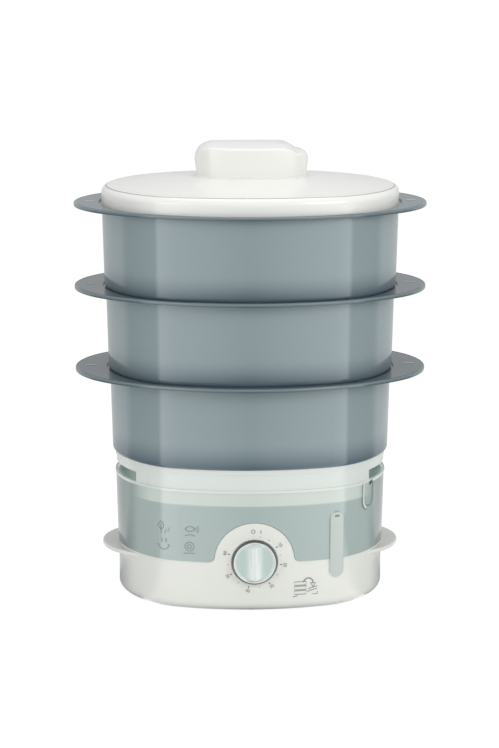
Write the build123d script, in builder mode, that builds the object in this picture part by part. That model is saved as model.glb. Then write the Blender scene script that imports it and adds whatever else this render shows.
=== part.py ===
"""Electric food steamer: base with timer and heater, water tank, juice collector, three bowls and a lid.

Millimetres, +Z up, the dial faces -Y. The origin is on the table, under the middle of the base.
Every plan outline is one master oval, moved inwards or outwards by an inset.
"""

import os
from math import atan2, cos, radians, sin, tan

from build123d import *

os.makedirs("parts", exist_ok=True)

# ---- plan outline: the master oval is the mouth of the upper bowl --------------------------------
half_width = 134.6
half_depth = 110.6
corner_radius = 75.0
side_bulge = 11.6
front_bulge = 7.6

# ---- general plastics ----------------------------------------------------------------------------
wall = 1.8
fit_gap = 0.5
slide_gap = 0.4
screw_gap = 0.1

# ---- feet and base -------------------------------------------------------------------------------
foot_height = 1.5
foot_radius = 7.0
foot_peg_radius = 2.5
foot_x = 82.0
foot_y = 50.0
base_inset = 13.2
base_wall = 2.6
base_rounding = 10.0
parting_height = 45.5
deck_drop = 9.5
deck_thickness = 2.4
cover_thickness = 2.5
cover_inset = 12.5
ledge_width = 3.0
ledge_thickness = 2.5
shoulder_height = 11.0
boss_x = 66.0
boss_y = 56.0
boss_radius = 4.5
vent_length = 34.0
vent_width = 2.6
vent_pitch = 7.0
vent_count = 7
ear_reach = 15.2
ear_setback = 7.4
ear_tip_radius = 62.0
ear_thickness = 3.6
ear_height = 40.0
ear_rounding = 1.0

# ---- dial tower on the front of the base ---------------------------------------------------------
dial_height = 46.3
tower_radius = 35.7
tower_wall = 3.2
tower_depth = 33.4
tower_blend = 5.0
niche_wall = 2.6

# ---- timer ---------------------------------------------------------------------------------------
knob_radius = 19.7
knob_recess = 1.6
knob_gap = 0.8
knob_thickness = 6.0
knob_rounding = 1.2
grip_width = 9.0
grip_height = 5.0
grip_setback = 0.4
grip_rounding = 1.5
shaft_radius = 3.0
shaft_gap = 0.05
shaft_flat = 0.8
shaft_grip = 8.0
shaft_in_timer = 6.0
timer_radius = 21.0
timer_depth = 20.0
timer_flange_width = 58.0
timer_flange_height = 14.0
timer_flange_thickness = 1.6
timer_screw_x = 26.0
timer_post_radius = 3.0
timer_post_length = 6.0
bell_radius = 15.0
bell_depth = 4.0
bell_wall = 1.0
bell_post_radius = 2.0
bell_post_length = 1.0

# ---- water tank ----------------------------------------------------------------------------------
tank_inset = 12.4
tank_draft = 1.4
tank_height = 66.1
tank_wall = 2.0
bead_height = 2.8
bead_proud = 0.5
gauge_x = 74.5
gauge_width = 12.4
gauge_top = 89.0
gauge_bottom = 28.6
gauge_proud = 1.4
spout_angle = 60.0
spout_width = 20.0
spout_drop = 27.0
spout_proud = 1.0
spout_lip = 2.4

# ---- heater --------------------------------------------------------------------------------------
heater_y = 14.0
heater_hole_radius = 34.0
seal_radius = 40.0
seal_thickness = 2.0
plate_thickness = 3.0
dome_height = 5.0
dome_chamfer = 1.5
retainer_thickness = 1.5
retainer_width = 4.0
retainer_inner_radius = 35.0
heater_bolt_radius = 48.0
heater_tab_radius = 5.5
heater_boss_height = 6.0
element_radius = 27.0
element_width = 6.0
element_height = 6.0
element_sweep = 300.0
cold_pin_radius = 1.8
cold_pin_length = 7.0
cold_pin_angle = 8.0
thermostat_radius = 8.0
thermostat_height = 7.0
fuse_length = 14.0
fuse_radius = 2.4
fuse_offset = 14.0
turbo_radius = 42.0
turbo_wall = 1.6
turbo_height = 38.0
turbo_notch_width = 12.0
turbo_notch_height = 5.0
turbo_notches = 6

# ---- juice collector -----------------------------------------------------------------------------
collector_rim = 130.4
collector_setback = 0.6
rim_lip_height = 4.2
rim_lip_proud = 0.7
filling_width = 18.0
tray_drop = 16.0
tray_gap = 1.0
chimney_radius = 9.0
chimney_ring_radius = 34.0
chimney_count = 6
chimney_height = 15.0

# ---- bowls ---------------------------------------------------------------------------------------
nest_step = 3.1
bowl_height = 77.0
bowl_draft = 1.4
bowl_foot_rounding = 3.0
spigot_depth = 7.5
flange_side_reach = 25.4
flange_front_reach = 8.4
flange_tip_radius = 95.0
flange_lip_height = 3.2
flange_lip_width = 1.6
flange_plate = 1.7
flange_rounding = 1.0
seat_outset = 2.6
seat_depth = 1.5
bar_length = 9.0
bar_width = 1.6
bar_height = 0.8
bar_pitch = 12.0
bar_count = 3
bar_setback = 13.0

# ---- grids ---------------------------------------------------------------------------------------
grid_thickness = 1.6
grid_gap = 0.5
grid_rim_height = 3.0
slot_length = 22.0
slot_width = 4.0
slot_pitch_x = 30.0
slot_pitch_y = 12.0
slot_margin = 14.0

# ---- lid: each dome point is (inset from the lid's side, height above the crease) -----------------
lid_outset = 0.2
lid_wall = 2.0
lid_crease_height = 19.3
lid_shoulder_radius = 8.5
lid_dome = [(7.5, 0.0), (20.0, 3.1), (38.0, 5.8), (58.0, 7.3)]
pod_x = -3.2
pod_half_length = 47.2
pod_half_depth = 29.0
pod_corner = 24.0
pod_top = 55.7
pod_root = 24.0
pod_rounding = 10.0
lobe_x = 12.2
lobe_half_length = 40.0
lobe_half_depth = 26.0
lobe_corner = 21.0
lobe_top = 48.0
lobe_rounding = 7.0

# ---- screws and electrical parts -----------------------------------------------------------------
screw_radius = 1.5
screw_head_radius = 3.0
screw_head_height = 1.6
screw_length = 11.0
timer_screw_length = 6.0
block_length = 34.0
block_depth = 15.0
block_height = 12.0
block_setback = 21.4
block_pole_radius = 2.5
block_pole_depth = 5.0
block_pole_pitch = 10.0
gland_radius = 6.0
gland_flange_radius = 8.0
gland_flange = 2.0
gland_inside = 3.0
gland_height = 18.0
gland_bore = 3.0

# ---- sizes that follow ---------------------------------------------------------------------------
deck_top = parting_height - deck_drop
deck_bottom = deck_top - deck_thickness
base_floor = foot_height + cover_thickness
base_inner_inset = base_inset + base_wall
tank_spread = tank_height * tan(radians(tank_draft))
tank_rim = parting_height + tank_height
tank_rim_inset = tank_inset - tank_spread
tank_foot_inset = base_inner_inset + slide_gap
tank_floor = deck_top + tank_wall
niche_radius = tower_radius + fit_gap
panel_front = half_depth - base_inset
tower_back = panel_front - tower_depth
niche_back = tower_back - fit_gap
corner_x = half_width - corner_radius - side_bulge
corner_y = half_depth - corner_radius - front_bulge
arc_reach = corner_x**2 + corner_y**2
front_centre = (arc_reach - (half_depth - corner_radius) ** 2) / (2 * front_bulge)
side_centre = (arc_reach - (half_width - corner_radius) ** 2) / (2 * side_bulge)
ear_half_width = half_width - base_inset + ear_reach
ear_half_depth = panel_front - ear_setback
flange_half_width = half_width + flange_side_reach
flange_half_depth = half_depth + flange_front_reach
side_ring_height = spigot_depth + fit_gap + wall
collector_inset = tank_rim_inset + collector_setback
collar_inset = collector_inset + wall
tray_inset = tank_rim_inset + tank_wall + tray_gap
tray_bottom = tank_rim - tray_drop
collector_half_length = half_width - collector_inset - filling_width
mouth_insets = {"lower": 2 * nest_step, "middle": nest_step, "upper": 0.0}
spigot_insets = {
    "lower": collar_inset + fit_gap,
    "middle": mouth_insets["lower"] + wall + fit_gap,
    "upper": mouth_insets["middle"] + wall + fit_gap,
}
bowl_pitch = bowl_height - seat_depth
seat_heights = {
    "lower": collector_rim,
    "middle": collector_rim + bowl_pitch,
    "upper": collector_rim + 2 * bowl_pitch,
}
lid_seat = collector_rim + 3 * bowl_pitch
plate_top = deck_top - seal_thickness
plate_bottom = plate_top - plate_thickness
retainer_bottom = plate_bottom - retainer_thickness
tower_front = panel_front - tower_wall
timer_rear = tower_front - timer_depth
flange_seat = tower_front - timer_post_length
recess_floor = panel_front - knob_recess
knob_back = recess_floor + slide_gap
reach = 2 * half_width

foot_places = [(x, y) for x in (-foot_x, foot_x) for y in (-foot_y, foot_y)]
boss_places = [(x, y) for x in (-boss_x, boss_x) for y in (-boss_y, boss_y)]
bolt_angles = (radians(30), radians(150), radians(270))
bolt_places = [
    (heater_bolt_radius * cos(angle), heater_y + heater_bolt_radius * sin(angle)) for angle in bolt_angles
]
timer_screw_places = [(-timer_screw_x, dial_height), (timer_screw_x, dial_height)]


# ---- shared shapes -------------------------------------------------------------------------------
def oval(height, inset):
    """Plan outline at a height: the master oval moved inwards by inset, as eight tangent arcs."""
    to_front = atan2(corner_y + front_centre, corner_x)
    to_side = atan2(corner_y, corner_x + side_centre)
    small = corner_radius - inset
    side, middle, front = (
        Vector(corner_x + small * cos(turn), corner_y + small * sin(turn))
        for turn in (to_side, (to_side + to_front) / 2, to_front)
    )
    left_side, left_middle, left_front = (Vector(-point.X, point.Y) for point in (side, middle, front))
    with BuildSketch(Plane.XY.offset(height)) as outline:
        with BuildLine():
            for turn in (1, -1):
                ThreePointArc(left_side * -turn, Vector(half_width - inset, 0) * turn, side * turn)
                ThreePointArc(side * turn, middle * turn, front * turn)
                ThreePointArc(front * turn, Vector(0, half_depth - inset) * turn, left_front * turn)
                ThreePointArc(left_front * turn, left_middle * turn, left_side * turn)
        make_face()
    return outline.sketch


def long_oval(height, inset, half_length, half_deep, tip):
    """Plan outline of an eared rim at a height: arcs of radius tip at the ends, joined by two large ones."""
    tip_x = half_length - tip
    large = (tip_x**2 + half_deep**2 - tip**2) / (2 * (half_deep - tip))
    turn = atan2(large - half_deep, tip_x)
    join = Vector(tip_x + (tip - inset) * cos(turn), (tip - inset) * sin(turn))
    left_join = Vector(-join.X, join.Y)
    with BuildSketch(Plane.XY.offset(height)) as outline:
        with BuildLine():
            for side in (1, -1):
                ThreePointArc(left_join * -side, Vector(half_length - inset, 0) * side, join * side)
                ThreePointArc(join * side, Vector(0, half_deep - inset) * side, left_join * side)
        make_face()
    return outline.sketch


def block(low, high, inset, draft=0.0, mode=Mode.ADD):
    """Oval block from height low to high, widening upwards by the draft angle."""
    extrude(oval(low, inset), amount=high - low, taper=-draft, mode=mode)


def arch(back, radius, foot):
    """Outline of the dial tower on a plane facing the front: a round head that flares into a wide foot."""
    with BuildSketch(Plane.XZ.offset(back)) as outline:
        with Locations((0, dial_height)):
            Circle(radius)
        with Locations((0, (parting_height + foot) / 2)):
            Rectangle(2 * (radius + tower_blend), parting_height - foot)
        corners = outline.vertices().group_by(Axis.Y)[-1].sort_by(Axis.X)
        fillet(corners[1:-1], tower_blend)
    return outline.sketch


def discs(plane, places, radius):
    """Circles of one radius at several places of a plane."""
    with BuildSketch(plane) as circles:
        with Locations(*places):
            Circle(radius)
    return circles.sketch


def between_sides(half_length):
    """Tall slab that keeps what lies between x = -half_length and x = half_length."""
    with BuildSketch(Plane.XY) as slab:
        Rectangle(2 * half_length, reach)
    return slab.sketch


def tower_body():
    """Dial tower: the base outline carried upwards with the draft of the tank, inside the arch."""
    with BuildPart() as body:
        block(deck_bottom, tank_rim, base_inset, tank_draft)
        extrude(arch(tower_back, tower_radius, deck_bottom), amount=reach, mode=Mode.INTERSECT)
    return body.part


def gauge_body(gap, outset, depth):
    """Upright round-ended strip of the tank's skin, at the water gauge, grown by a gap."""
    low = gauge_bottom - gap
    high = gauge_top + gap
    low_inset = tank_inset + (parting_height - low) * tan(radians(tank_draft))
    with BuildPart() as body:
        block(low, high, low_inset - outset, tank_draft)
        block(low, high, low_inset + depth, tank_draft, mode=Mode.SUBTRACT)
        with BuildSketch(Plane.XZ):
            with Locations((gauge_x, (high + low) / 2)):
                SlotOverall(high - low, gauge_width + 2 * gap, rotation=90)
        extrude(amount=reach, mode=Mode.INTERSECT)
    return body.part


def spout_body(outset, depth, margin):
    """Round-bottomed patch of the tank's skin, hanging from the rim at the filling spout."""
    turn = radians(spout_angle)
    facing = Plane(origin=(0, 0, tank_rim), x_dir=(cos(turn), sin(turn), 0), z_dir=(sin(turn), -cos(turn), 0))
    with BuildPart() as body:
        block(parting_height, tank_rim, tank_inset - outset, tank_draft)
        block(parting_height, tank_rim, tank_inset + depth, tank_draft, mode=Mode.SUBTRACT)
        with BuildSketch(facing):
            SlotOverall(2 * (spout_drop - margin), spout_width - 2 * margin, rotation=90)
        extrude(amount=reach, mode=Mode.INTERSECT)
    return body.part


def tank_hollow():
    """Water space of the tank, clear of the wall around the dial tower."""
    step = parting_height + tank_wall
    step_inset = tank_inset + tank_wall - tank_wall * tan(radians(tank_draft))
    with BuildPart() as space:
        block(step, tank_rim, step_inset, tank_draft)
        block(tank_floor, step, tank_foot_inset + tank_wall)
        around_tower = arch(niche_back - niche_wall, niche_radius + niche_wall, deck_top)
        extrude(around_tower, amount=reach, mode=Mode.SUBTRACT)
    return space.part


def tray_hollow():
    """Space of the juice tray between the two filling recesses."""
    with BuildPart() as space:
        block(tray_bottom + wall, tank_rim + wall, tray_inset + wall)
        block(tank_rim + wall, collector_rim, collar_inset)
        extrude(between_sides(collector_half_length - wall), amount=collector_rim, mode=Mode.INTERSECT)
    return space.part


def lid_body(offset):
    """Lid without its handle, moved inwards and down by an offset."""
    side_inset = -lid_outset + offset
    crease = lid_seat + lid_crease_height - offset
    with BuildPart() as body:
        block(lid_seat, crease, side_inset)
        fillet(body.faces().sort_by(Axis.Z)[-1].edges(), lid_shoulder_radius - offset)
        loft([oval(crease + rise, side_inset + inset) for inset, rise in lid_dome], ruled=True)
    return body.part


def handle_body(centre, half_length, half_deep, corner, top, rounding, offset):
    """One rounded block of the lid's handle, moved inwards by an offset."""
    with BuildPart() as body:
        with BuildSketch(Plane.XY.offset(lid_seat + pod_root - 2 * offset)):
            with Locations((centre, 0)):
                RectangleRounded(2 * (half_length - offset), 2 * (half_deep - offset), corner - offset)
        extrude(amount=top - pod_root + offset)
        fillet(body.faces().sort_by(Axis.Z)[-1].edges(), rounding - offset)
    return body.part


def screw_group(plane, places, length):
    """Pan-head screws that stand on a plane, heads first, one solid at each place."""
    with BuildPart() as group:
        extrude(discs(plane, places, screw_head_radius), amount=screw_head_height)
        extrude(discs(plane.offset(screw_head_height), places, screw_radius), amount=length)
    return group.part


def export(body, name):
    """Label the finished part and write its STEP file."""
    body.label = name
    export_step(body, f"parts/{name}.step")


# ---- base housing: shell, crescent ears, recess for the tank, dial tower -------------------------
tower = tower_body()
gauge_notch = gauge_body(fit_gap, gauge_proud, tank_wall)

with BuildPart() as base_ears:
    extrude(long_oval(ear_height, 0, ear_half_width, ear_half_depth, ear_tip_radius), amount=ear_thickness)
    fillet(base_ears.edges(), ear_rounding)

with BuildPart() as base_housing:
    block(foot_height, parting_height, base_inset)
    fillet(base_housing.faces().sort_by(Axis.Z)[0].edges(), base_rounding)
    add(base_ears)
    block(deck_top, parting_height, base_inner_inset, mode=Mode.SUBTRACT)
    add(tower)
    # hollow, open below for the cover
    ledge_top = base_floor + ledge_thickness
    block(foot_height, base_floor, base_inset + cover_inset, mode=Mode.SUBTRACT)
    block(base_floor, ledge_top, base_inset + cover_inset + ledge_width, mode=Mode.SUBTRACT)
    block(ledge_top, shoulder_height, base_inner_inset + ledge_width, mode=Mode.SUBTRACT)
    block(shoulder_height, deck_bottom, base_inner_inset, mode=Mode.SUBTRACT)
    tower_inside = arch(tower_back + tower_wall, tower_radius - tower_wall, ledge_top)
    extrude(tower_inside, amount=tower_front - tower_back - tower_wall, mode=Mode.SUBTRACT)
    # bosses for the cover's screws and posts for the timer
    extrude(discs(Plane.XY.offset(base_floor), boss_places, boss_radius), amount=deck_bottom - base_floor)
    pilot = screw_radius + screw_gap
    pilots = discs(Plane.XY.offset(base_floor), boss_places, pilot)
    extrude(pilots, amount=screw_length + screw_head_height, mode=Mode.SUBTRACT)
    posts = discs(Plane.XZ.offset(flange_seat), timer_screw_places, timer_post_radius)
    extrude(posts, amount=timer_post_length)
    post_holes = discs(Plane.XZ.offset(flange_seat), timer_screw_places, pilot)
    extrude(post_holes, amount=timer_post_length + slide_gap, mode=Mode.SUBTRACT)
    # round recess behind the knob and the hole for its shaft
    dial_centre = [(0, dial_height)]
    knob_hole = discs(Plane.XZ.offset(recess_floor), dial_centre, knob_radius + knob_gap)
    extrude(knob_hole, amount=knob_recess + tower_wall, mode=Mode.SUBTRACT)
    shaft_hole = discs(Plane.XZ.offset(tower_front), dial_centre, shaft_radius + fit_gap)
    extrude(shaft_hole, amount=tower_wall, mode=Mode.SUBTRACT)
    # notch for the tongue of the water gauge
    add(gauge_notch, mode=Mode.SUBTRACT)
    # opening for the heater and the holes for its bolts
    heater_opening = discs(Plane.XY.offset(deck_bottom), [(0, heater_y)], seal_radius + retainer_width)
    extrude(heater_opening, amount=deck_thickness, mode=Mode.SUBTRACT)
    bolt_holes = discs(Plane.XY.offset(deck_bottom), bolt_places, pilot)
    extrude(bolt_holes, amount=deck_thickness, mode=Mode.SUBTRACT)
    # hole for the cord gland in the rear wall
    gland_hole = discs(Plane.XZ.offset(-half_depth), [(0, gland_height)], gland_radius + screw_gap)
    extrude(gland_hole, amount=base_inner_inset + ledge_width, mode=Mode.SUBTRACT)
export(base_housing.part, "base_housing")

# ---- bottom cover and feet -----------------------------------------------------------------------
with BuildPart() as bottom_cover:
    block(foot_height, base_floor, base_inset + cover_inset + slide_gap)
    head_plane = Plane.XY.offset(foot_height)
    head_holes = discs(head_plane, boss_places, screw_head_radius + screw_gap)
    extrude(head_holes, amount=screw_head_height, mode=Mode.SUBTRACT)
    screw_holes = discs(head_plane, boss_places, screw_radius + screw_gap)
    extrude(screw_holes, amount=cover_thickness, mode=Mode.SUBTRACT)
    peg_holes = discs(head_plane, foot_places, foot_peg_radius + screw_gap)
    extrude(peg_holes, amount=cover_thickness, mode=Mode.SUBTRACT)
    with BuildSketch(head_plane):
        with GridLocations(0, vent_pitch, 1, vent_count):
            Rectangle(vent_length, vent_width)
    extrude(amount=cover_thickness, mode=Mode.SUBTRACT)
export(bottom_cover.part, "bottom_cover")

for number, place in enumerate(foot_places, start=1):
    with BuildPart() as foot:
        extrude(discs(Plane.XY, [place], foot_radius), amount=foot_height)
        extrude(discs(Plane.XY.offset(foot_height), [place], foot_peg_radius), amount=cover_thickness)
    export(foot.part, f"foot_{number}")

housing_screws = screw_group(Plane.XY.offset(foot_height), boss_places, screw_length)
export(housing_screws, "housing_screws")

# ---- timer, its bell, shaft and knob -------------------------------------------------------------
with BuildPart() as timer_case:
    extrude(discs(Plane.XZ.offset(timer_rear), dial_centre, timer_radius), amount=timer_depth)
    with BuildSketch(Plane.XZ.offset(flange_seat - timer_flange_thickness)):
        with Locations((0, dial_height)):
            Rectangle(timer_flange_width, timer_flange_height)
    extrude(amount=timer_flange_thickness)
    flange_holes = discs(Plane.XZ.offset(flange_seat), timer_screw_places, screw_radius + screw_gap)
    extrude(flange_holes, amount=-timer_flange_thickness, mode=Mode.SUBTRACT)
    shaft_bore = discs(Plane.XZ.offset(tower_front), dial_centre, shaft_radius + shaft_gap)
    extrude(shaft_bore, amount=-shaft_in_timer, mode=Mode.SUBTRACT)
export(timer_case.part, "timer_case")

timer_screw_plane = Plane.XZ.offset(flange_seat - timer_flange_thickness - screw_head_height)
timer_screws = screw_group(timer_screw_plane, timer_screw_places, timer_screw_length)
export(timer_screws, "timer_screws")

with BuildPart() as timer_bell:
    bell_front = timer_rear - bell_post_length
    extrude(discs(Plane.XZ.offset(bell_front), dial_centre, bell_radius), amount=-bell_depth)
    bell_hollow = discs(Plane.XZ.offset(bell_front), dial_centre, bell_radius - bell_wall)
    extrude(bell_hollow, amount=-(bell_depth - bell_wall), mode=Mode.SUBTRACT)
    bell_post = discs(Plane.XZ.offset(timer_rear), dial_centre, bell_post_radius)
    extrude(bell_post, amount=-(bell_post_length + bell_depth))
export(timer_bell.part, "timer_bell")


def d_section(plane, gap):
    """Round section with one flat, for the shaft's end and the bore that it turns."""
    with BuildSketch(plane) as section:
        with Locations((0, dial_height)):
            Circle(shaft_radius + gap)
        with Locations((0, dial_height + 2 * shaft_radius - shaft_flat + gap)):
            Rectangle(4 * shaft_radius, 2 * shaft_radius, mode=Mode.SUBTRACT)
    return section.sketch


with BuildPart() as timer_shaft:
    shaft_start = tower_front - shaft_in_timer + slide_gap
    extrude(discs(Plane.XZ.offset(shaft_start), dial_centre, shaft_radius), amount=knob_back - shaft_start)
    extrude(d_section(Plane.XZ.offset(knob_back), 0), amount=shaft_grip)
export(timer_shaft.part, "timer_shaft")

with BuildPart() as timer_knob:
    extrude(discs(Plane.XZ.offset(knob_back), dial_centre, knob_radius), amount=knob_thickness)
    fillet(timer_knob.faces().sort_by(Axis.Y)[0].edges(), knob_rounding)
    with BuildSketch(Plane.XZ.offset(knob_back)):
        with Locations((0, dial_height)):
            SlotOverall(2 * (knob_radius - knob_rounding - grip_setback), grip_width, rotation=90)
    extrude(amount=knob_thickness + grip_height)
    fillet(timer_knob.faces().sort_by(Axis.Y)[0].edges(), grip_rounding)
    knob_bore = d_section(Plane.XZ.offset(knob_back), shaft_gap)
    extrude(knob_bore, amount=shaft_grip + slide_gap, mode=Mode.SUBTRACT)
export(timer_knob.part, "timer_knob")

# ---- water tank ----------------------------------------------------------------------------------
hollow = tank_hollow()
gauge = gauge_body(0, gauge_proud, tank_wall)
spout = spout_body(spout_proud, tank_wall, 0)
spout_inside = spout_body(spout_proud, 0, spout_lip)

with BuildPart() as tank:
    block(parting_height, tank_rim, tank_inset, tank_draft)
    block(tank_rim - bead_height, tank_rim, tank_rim_inset - bead_proud)
    block(deck_top, parting_height, tank_foot_inset)
    add(spout)
    add(spout_inside, mode=Mode.SUBTRACT)
    extrude(arch(niche_back, niche_radius, deck_top), amount=reach, mode=Mode.SUBTRACT)
    add(hollow, mode=Mode.SUBTRACT)
    add(gauge)
    bosses = discs(Plane.XY.offset(deck_top), bolt_places, boss_radius)
    extrude(bosses, amount=heater_boss_height)
    pilots = discs(Plane.XY.offset(deck_top), bolt_places, screw_radius + screw_gap)
    extrude(pilots, amount=heater_boss_height - tank_wall, mode=Mode.SUBTRACT)
    heater_hole = discs(Plane.XY.offset(deck_top), [(0, heater_y)], heater_hole_radius)
    extrude(heater_hole, amount=tank_wall, mode=Mode.SUBTRACT)
export(tank.part, "tank")

# ---- heater under the tank -----------------------------------------------------------------------
heater_centre = [(0, heater_y)]

with BuildPart() as heater_seal:
    extrude(discs(Plane.XY.offset(plate_top), heater_centre, seal_radius), amount=seal_thickness)
    hole = discs(Plane.XY.offset(plate_top), heater_centre, heater_hole_radius)
    extrude(hole, amount=seal_thickness, mode=Mode.SUBTRACT)
export(heater_seal.part, "heater_seal")

with BuildPart() as heater_plate:
    extrude(discs(Plane.XY.offset(plate_bottom), heater_centre, heater_hole_radius - fit_gap),
            amount=plate_thickness + dome_height)
    chamfer(heater_plate.faces().sort_by(Axis.Z)[-1].edges(), dome_chamfer)
    extrude(discs(Plane.XY.offset(plate_bottom), heater_centre, seal_radius), amount=plate_thickness)
export(heater_plate.part, "heater_plate")

with BuildPart() as heater_retainer:
    retainer_plane = Plane.XY.offset(retainer_bottom)
    extrude(discs(retainer_plane, heater_centre, seal_radius + retainer_width), amount=retainer_thickness)
    extrude(discs(retainer_plane, bolt_places, heater_tab_radius), amount=retainer_thickness)
    inside = discs(retainer_plane, heater_centre, retainer_inner_radius)
    extrude(inside, amount=retainer_thickness, mode=Mode.SUBTRACT)
    tab_holes = discs(retainer_plane, bolt_places, screw_radius + screw_gap)
    extrude(tab_holes, amount=retainer_thickness, mode=Mode.SUBTRACT)
export(heater_retainer.part, "heater_retainer")

bolt_length = deck_top + heater_boss_height - tank_wall - slide_gap - retainer_bottom
heater_screws = screw_group(Plane.XY.offset(retainer_bottom - screw_head_height), bolt_places, bolt_length)
export(heater_screws, "heater_screws")

with BuildPart() as heater_element:
    element_axis = Axis((0, heater_y, 0), (0, 0, 1))
    with BuildSketch(Plane.XZ.offset(-heater_y)):
        with Locations((element_radius, plate_bottom - element_height / 2)):
            Rectangle(element_width, element_height)
    revolve(axis=element_axis, revolution_arc=element_sweep)
    pin_places = [
        (element_radius * cos(radians(angle)), heater_y + element_radius * sin(radians(angle)))
        for angle in (cold_pin_angle, element_sweep - cold_pin_angle)
    ]
    pin_plane = Plane.XY.offset(plate_bottom - element_height - cold_pin_length)
    extrude(discs(pin_plane, pin_places, cold_pin_radius), amount=cold_pin_length + element_height / 2)
export(heater_element.part, "heater_element")

with BuildPart() as thermostat:
    extrude(discs(Plane.XY.offset(plate_bottom - thermostat_height), heater_centre, thermostat_radius),
            amount=thermostat_height)
export(thermostat.part, "thermostat")

with BuildPart() as thermal_fuse:
    with BuildSketch(Plane.XZ.offset(-heater_y - fuse_length / 2)):
        with Locations((fuse_offset, plate_bottom - fuse_radius)):
            Circle(fuse_radius)
    extrude(amount=fuse_length)
export(thermal_fuse.part, "thermal_fuse")

with BuildPart() as turbo_ring:
    extrude(discs(Plane.XY.offset(tank_floor), heater_centre, turbo_radius), amount=turbo_height)
    bore = discs(Plane.XY.offset(tank_floor), heater_centre, turbo_radius - turbo_wall)
    extrude(bore, amount=turbo_height, mode=Mode.SUBTRACT)
    with BuildSketch(Plane.XY.offset(tank_floor)):
        with Locations((0, heater_y)):
            with PolarLocations(turbo_radius, turbo_notches):
                Rectangle(4 * turbo_wall, turbo_notch_width)
    extrude(amount=turbo_notch_height, mode=Mode.SUBTRACT)
export(turbo_ring.part, "turbo_ring")

# ---- terminal block and cord gland ---------------------------------------------------------------
with BuildPart() as terminal_block:
    with BuildSketch(Plane.XY.offset(deck_bottom - block_height)):
        with Locations((0, panel_front - block_setback)):
            Rectangle(block_length, block_depth)
    extrude(amount=block_height)
    with BuildSketch(Plane.XY.offset(deck_bottom - block_height)):
        with Locations((0, panel_front - block_setback)):
            with GridLocations(block_pole_pitch, 0, 3, 1):
                Circle(block_pole_radius)
    extrude(amount=block_pole_depth, mode=Mode.SUBTRACT)
export(terminal_block.part, "terminal_block")

with BuildPart() as cord_gland:
    gland_length = base_wall + gland_inside
    extrude(discs(Plane.XZ.offset(-panel_front), [(0, gland_height)], gland_radius), amount=gland_length)
    gland_rim = discs(Plane.XZ.offset(-panel_front), [(0, gland_height)], gland_flange_radius)
    extrude(gland_rim, amount=-gland_flange)
    cord_bore = discs(Plane.XZ.offset(-panel_front - gland_flange), [(0, gland_height)], gland_bore)
    extrude(cord_bore, amount=gland_flange + gland_length, mode=Mode.SUBTRACT)
export(cord_gland.part, "cord_gland")

# ---- juice collector -----------------------------------------------------------------------------
tray = tray_hollow()

with BuildPart() as juice_collector:
    block(tank_rim, collector_rim, collector_inset)
    block(tray_bottom, tank_rim, tray_inset)
    extrude(between_sides(collector_half_length), amount=collector_rim, mode=Mode.INTERSECT)
    block(collector_rim - side_ring_height, collector_rim, collector_inset)
    block(collector_rim - rim_lip_height, collector_rim, collector_inset - rim_lip_proud)
    block(collector_rim - side_ring_height + wall, collector_rim, collar_inset, mode=Mode.SUBTRACT)
    add(tray, mode=Mode.SUBTRACT)
    with BuildSketch(Plane.XY.offset(tray_bottom)) as chimneys:
        with Locations((0, heater_y)):
            with PolarLocations(chimney_ring_radius, chimney_count):
                Circle(chimney_radius)
            Circle(chimney_radius)
    extrude(amount=chimney_height)
    with BuildSketch(Plane.XY.offset(tray_bottom)):
        with Locations((0, heater_y)):
            with PolarLocations(chimney_ring_radius, chimney_count):
                Circle(chimney_radius - wall)
            Circle(chimney_radius - wall)
    extrude(amount=chimney_height, mode=Mode.SUBTRACT)
export(juice_collector.part, "juice_collector")

# ---- three bowls, each wider than the one below, with the same rim -------------------------------
def rim_outline(height, inset):
    """Outline of the bowls' eared flange."""
    return long_oval(height, inset, flange_half_width, flange_half_depth, flange_tip_radius)


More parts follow.
